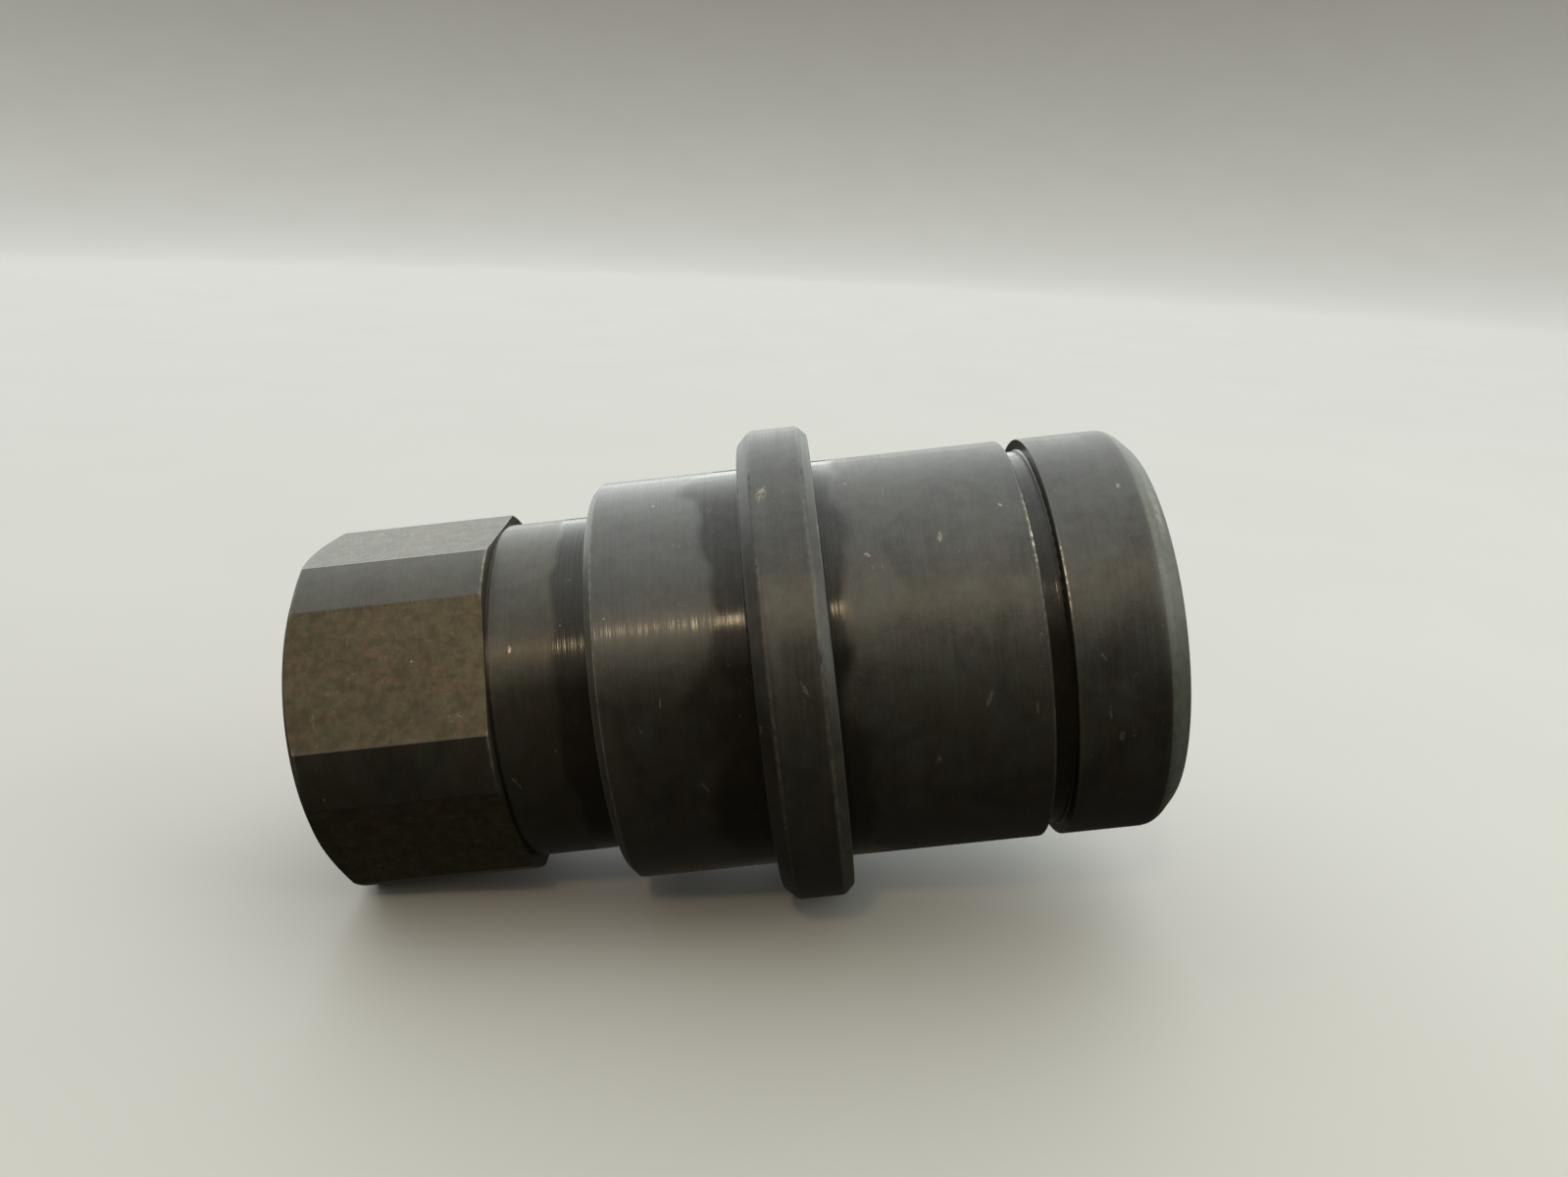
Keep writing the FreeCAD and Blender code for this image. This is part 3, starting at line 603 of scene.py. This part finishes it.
def coil_mesh(name, rear_x, front_x, mean_r, wire_r, turns):
    """A compression spring as one smooth tube, closed and ground flat at both ends."""
    around = 20
    per_turn = 56
    steps = int(turns * per_turn)
    closed_pitch = 2 * wire_r * 1.04
    start_x = rear_x + 0.35 * wire_r
    open_rise = front_x - rear_x - 0.7 * wire_r - 2 * closed_pitch
    open_turns = turns - 2
    vertices = []
    for i in range(steps + 1):
        turn = turns * i / steps
        opened = min(max(turn - 1, 0), open_turns)
        closed = turn - opened
        centre_x = start_x + closed * closed_pitch + open_rise * opened / open_turns
        angle = 2 * math.pi * turn
        outward = Vector((0, math.cos(angle), math.sin(angle)))
        for j in range(around):
            spin = 2 * math.pi * j / around
            point = outward * (mean_r + wire_r * math.cos(spin))
            point.x = min(max(centre_x + wire_r * math.sin(spin), rear_x), front_x)
            vertices.append(point)
    faces = []
    for i in range(steps):
        for j in range(around):
            a = i * around + j
            b = i * around + (j + 1) % around
            faces.append((a, b, b + around, a + around))
    faces.append(tuple(reversed(range(around))))
    faces.append(tuple(range(steps * around, (steps + 1) * around)))
    mesh = bpy.data.meshes.new(name)
    mesh.from_pydata(vertices, [], faces)
    mesh.update()
    for polygon in mesh.polygons:
        polygon.use_smooth = len(polygon.vertices) == 4
    piece = bpy.data.objects.new(name, mesh)
    bpy.context.scene.collection.objects.link(piece)
    return piece


def make_spring(node, size, material):
    """Stands in for a CAD spring."""
    wire_r, turns = size
    low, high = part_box(node)
    outer_r = high.z
    piece = coil_mesh(node + "_coil", low.x, high.x, outer_r - wire_r, wire_r, turns)
    piece.data.materials.append(material)
    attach(piece, "body")
    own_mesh(piece)
    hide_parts(node)


def make_springs():
    """Smooth coils in place of both CAD springs."""
    wire = spring_wire("spring_wire")
    make_spring("sleeve_spring", SLEEVE_SPRING, wire)
    make_spring("poppet_spring", POPPET_SPRING, wire)


def floor_matrix():
    """The floor's frame: its origin under the flange, tilted so that the coupler lies on it."""
    return Matrix.Translation(FLOOR_POINT) @ Matrix.Rotation(REST_TILT, 4, "Y")


def pale_floor_material():
    """Matt off-white with the faintest cloud."""
    n = Nodes(bpy.data.materials.new("pale_floor"))
    place, _, _ = n.place()
    tone = n.mix(n.noise(place, 0.02, 3.0), (0.31, 0.301, 0.288), (0.335, 0.328, 0.317))
    return n.finish(Base_Color=tone, Roughness=0.6)


def make_floor():
    """A plain round sweep, flat under the coupler and curving up far away. Only the camera sees it."""
    flat_r = 0.9
    bend_r = 0.6
    height = 1.8
    bend_steps = 24
    around = 96
    profile = [(0.01, 0.0), (flat_r, 0.0)]
    for i in range(1, bend_steps + 1):
        angle = math.pi / 2 * i / bend_steps
        profile.append((flat_r + bend_r * math.sin(angle), bend_r * (1 - math.cos(angle))))
    profile.append((flat_r + bend_r, height))
    vertices = []
    for radius, z in profile:
        for j in range(around):
            turn = 2 * math.pi * j / around
            vertices.append((radius * math.cos(turn), radius * math.sin(turn), z))
    faces = [tuple(range(around))]
    for i in range(len(profile) - 1):
        for j in range(around):
            here = i * around + j
            beside = i * around + (j + 1) % around
            faces.append((here, here + around, beside + around, beside))
    mesh = bpy.data.meshes.new("floor")
    mesh.from_pydata(vertices, [], faces)
    for polygon in mesh.polygons:
        polygon.use_smooth = True
    floor = bpy.data.objects.new("floor", mesh)
    floor.matrix_world = floor_matrix()
    floor.visible_diffuse = False
    floor.visible_glossy = False
    floor.visible_shadow = False
    mesh.materials.append(pale_floor_material())
    bpy.context.scene.collection.objects.link(floor)


def add_light(name, place, aim, size, power, colour):
    """A square soft light that points at a place, in metres."""
    lamp = bpy.data.lights.new(name, "AREA")
    lamp.size = size
    lamp.energy = power
    lamp.color = colour
    light = bpy.data.objects.new(name, lamp)
    light.location = place
    light.rotation_euler = (Vector(aim) - Vector(place)).to_track_quat("-Z", "Y").to_euler()
    bpy.context.scene.collection.objects.link(light)


def make_lights():
    """One small warm lamp above the camera, and one soft card of light out past the mating end."""
    add_light("lamp", place=(-0.055, -0.42, 0.44), aim=(-0.005, 0, 0), size=0.045, power=0.62,
              colour=(1.0, 0.76, 0.47))
    add_light("card", place=(0.42, -0.16, 0.16), aim=(0.02, 0, 0), size=0.30, power=1.1,
              colour=(0.93, 1.0, 0.88))


def make_world():
    """A soft studio dome: brightest overhead and behind, dim in front below the camera."""
    world = bpy.data.worlds.new("studio")
    n = Nodes(world)
    towards = n.add("ShaderNodeTexCoord", {}, {}).outputs["Generated"]
    split = n.add("ShaderNodeSeparateXYZ", {}, {0: towards}).outputs
    turn = n.math("ARCTAN2", split[2], n.times(split[1], -1.0))
    low = n.smooth(turn, math.radians(17), math.radians(43))
    high = n.smooth(turn, math.radians(38), math.radians(106))
    under = n.smooth(split[2], -0.05, -0.25)
    left = n.smooth(split[0], -0.95, -0.55, 0.22, 1.0)
    right = n.smooth(split[0], 0.60, 0.95, 1.0, 0.5)
    colour = n.mix(low, (0.040, 0.036, 0.028), (1.05, 0.94, 0.76))
    colour = n.mix(high, colour, (2.15, 2.26, 2.20))
    colour = n.mix(under, colour, (0.050, 0.044, 0.035))
    background = n.add("ShaderNodeBackground", {}, {"Color": colour, "Strength": n.times(left, right)})
    n.add("ShaderNodeOutputWorld", {}, {"Surface": background.outputs[0]})
    bpy.context.scene.world = world
    bpy.context.scene.view_settings.view_transform = "Standard"


def make_camera():
    """Looks down a little at the coupler's side, from in front of the flange."""
    lens = bpy.data.cameras.new("camera")
    lens.lens = CAMERA_LENS
    lens.sensor_width = 36.0
    lens.clip_start = 0.005
    camera = bpy.data.objects.new("camera", lens)
    forward = Vector((math.sin(CAMERA_YAW) * math.cos(CAMERA_PITCH),
                      math.cos(CAMERA_YAW) * math.cos(CAMERA_PITCH), -math.sin(CAMERA_PITCH)))
    level_right = forward.cross(Vector((0, 0, 1))).normalized()
    level_up = level_right.cross(forward)
    right = level_right * math.cos(CAMERA_ROLL) - level_up * math.sin(CAMERA_ROLL)
    up = right.cross(forward)
    rotation = Matrix((right, up, -forward)).transposed()
    camera.matrix_world = Matrix.Translation(CAMERA_PLACE) @ rotation.to_4x4()
    bpy.context.scene.collection.objects.link(camera)
    bpy.context.scene.camera = camera


paint_all()
make_springs()
make_floor()
make_lights()
make_world()
make_camera()
